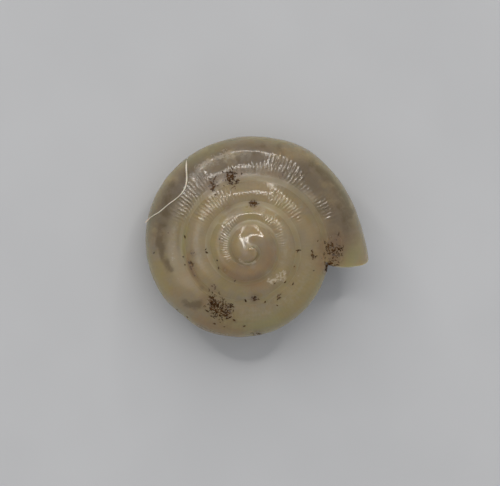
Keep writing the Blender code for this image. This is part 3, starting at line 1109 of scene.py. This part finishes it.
def make_camera(middle):
    """A long lens that looks down on the apex as the photograph does."""
    right, up, towards, apex = picture_frame(middle)
    across, down = (place - size / 2.0 for place, size in zip(APEX_PIXEL, PHOTO_SIZE))
    centre = apex - (right * across - up * down) / PIXELS_PER_MM * MM
    camera = bpy.data.cameras.new("camera")
    camera.sensor_fit = "HORIZONTAL"
    camera.sensor_width = SENSOR
    camera.lens = SENSOR * CAMERA_DISTANCE * PIXELS_PER_MM / PHOTO_SIZE[0]
    camera.clip_start, camera.clip_end = CAMERA_CLIP
    body = add_object("camera", camera)
    view = Matrix((right, up, towards)).transposed()
    body.matrix_world = Matrix.Translation(centre + towards * CAMERA_DISTANCE * MM) @ view.to_4x4()
    bpy.context.scene.camera = body
    return view


# Light: pale surroundings, a ring of lamps that the gloss mirrors, a dim panel within the ring,
# a small lamp on the right and a pale window on the left. Angles and sizes are in degrees, as
# the shell sees them.
RING_TILT = 48.0
RING_AZIMUTH = 94.0
RING_HALF_WIDTH = 31.0
RING_HALF_HEIGHT = 26.0
RING_LAMPS = 28
LAMP_DISTANCE = 260.0
RING_LAMP_SIZE = (6.7, 3.4)
NEAR_BRIGHTNESS = 11.5
FAR_BRIGHTNESS = 5.0
PANEL_SIZE = (44.0, 38.0)
PANEL_BRIGHTNESS = 0.15
SIDE_LAMP = (31.0, 30.0)
SIDE_LAMP_SIZE = (5.3, 3.8)
SIDE_BRIGHTNESS = 4.6
WINDOW = (30.0, 172.0)
WINDOW_SIZE = (30.0, 34.0)
WINDOW_BRIGHTNESS = 0.45
SURROUND = (0.94, 0.94, 0.95, 1.0)
LAMP_COLOUR = (1.0, 0.96, 0.91)
SURROUND_STRENGTH = 0.52


def seen_direction(tilt, azimuth):
    """Unit vector at a tilt from the line of sight, towards an azimuth in the picture."""
    tilt, azimuth = math.radians(tilt), math.radians(azimuth)
    return Vector((math.sin(tilt) * math.cos(azimuth), math.sin(tilt) * math.sin(azimuth), math.cos(tilt)))


def area_light(name, view, direction, size, brightness, along):
    """A soft rectangular lamp that faces the shell, placed and sized as the shell sees it."""
    light = bpy.data.lights.new(name, "AREA")
    light.shape = "RECTANGLE"
    light.size, light.size_y = (math.tan(math.radians(side)) * LAMP_DISTANCE * MM for side in size)
    light.color = LAMP_COLOUR
    light.energy = brightness * light.size * light.size_y * math.pi
    back = direction.normalized()
    side = (along - back * along.dot(back)).normalized()
    turn = view @ Matrix((side, back.cross(side), back)).transposed()
    place_of_lamp = Matrix.Translation(view @ back * LAMP_DISTANCE * MM)
    add_object(name, light).matrix_world = place_of_lamp @ turn.to_4x4()


def make_lights(view):
    """The ring of lamps, the panel within it, the side lamp, the window and the surroundings."""
    middle = seen_direction(RING_TILT, RING_AZIMUTH)
    across = Vector((0.0, 0.0, 1.0)).cross(middle).normalized()
    rise = across.cross(middle)
    half_width = math.tan(math.radians(RING_HALF_WIDTH))
    half_height = math.tan(math.radians(RING_HALF_HEIGHT))
    for lamp in range(RING_LAMPS):
        turn = math.tau * lamp / RING_LAMPS
        direction = middle + across * half_width * math.cos(turn) + rise * half_height * math.sin(turn)
        along = rise * half_height * math.cos(turn) - across * half_width * math.sin(turn)
        nearness = 0.5 - 0.5 * math.sin(turn)
        brightness = FAR_BRIGHTNESS + (NEAR_BRIGHTNESS - FAR_BRIGHTNESS) * nearness
        area_light(f"ring_lamp_{lamp:02d}", view, direction, RING_LAMP_SIZE, brightness, along)
    area_light("panel", view, middle, PANEL_SIZE, PANEL_BRIGHTNESS, across)
    area_light("side_lamp", view, seen_direction(*SIDE_LAMP), SIDE_LAMP_SIZE, SIDE_BRIGHTNESS, across)
    area_light("window", view, seen_direction(*WINDOW), WINDOW_SIZE, WINDOW_BRIGHTNESS, across)

    world = bpy.data.worlds.new("surroundings")
    world.use_nodes = True
    sky = world.node_tree.nodes["Background"]
    sky.inputs["Color"].default_value = SURROUND
    sky.inputs["Strength"].default_value = SURROUND_STRENGTH
    bpy.context.scene.world = world


# The floor: half its side in mm, two tones of its colour, features per mm and detail, the values
# at which it changes from one tone to the other, and strength of the gloss
FLOOR_HALF = 150.0
FLOOR_COLOURS = (srgb(193, 195, 198), srgb(196, 198, 201))
FLOOR_FEATURES = (0.3, 2.0)
FLOOR_TONES = (0.3, 0.7)
FLOOR_GLOSS = 0.2


def floor_material():
    """Plain, pale and dull."""
    dull = {"Roughness": DULL_ROUGHNESS, "Specular IOR Level": FLOOR_GLOSS}
    return two_toned("pale_floor", FLOOR_COLOURS, FLOOR_FEATURES, FLOOR_TONES, dull).material


def make_floor():
    """A plain pale floor under the shell."""
    mesh = bpy.data.meshes.new("floor")
    side = FLOOR_HALF * MM
    corners = [(x * side, y * side, 0.0) for x, y in ((-1, -1), (1, -1), (1, 1), (-1, 1))]
    mesh.from_pydata(corners, [], [(0, 1, 2, 3)])
    mesh.materials.append(floor_material())
    floor = add_object("floor", mesh)


shell_middle, shell_landing = shell_surface()
make_crumbs(shell_landing)
make_lint(shell_landing)
camera_view = make_camera(shell_middle)
make_lights(camera_view)
make_floor()
bpy.context.scene.view_settings.view_transform = "Standard"
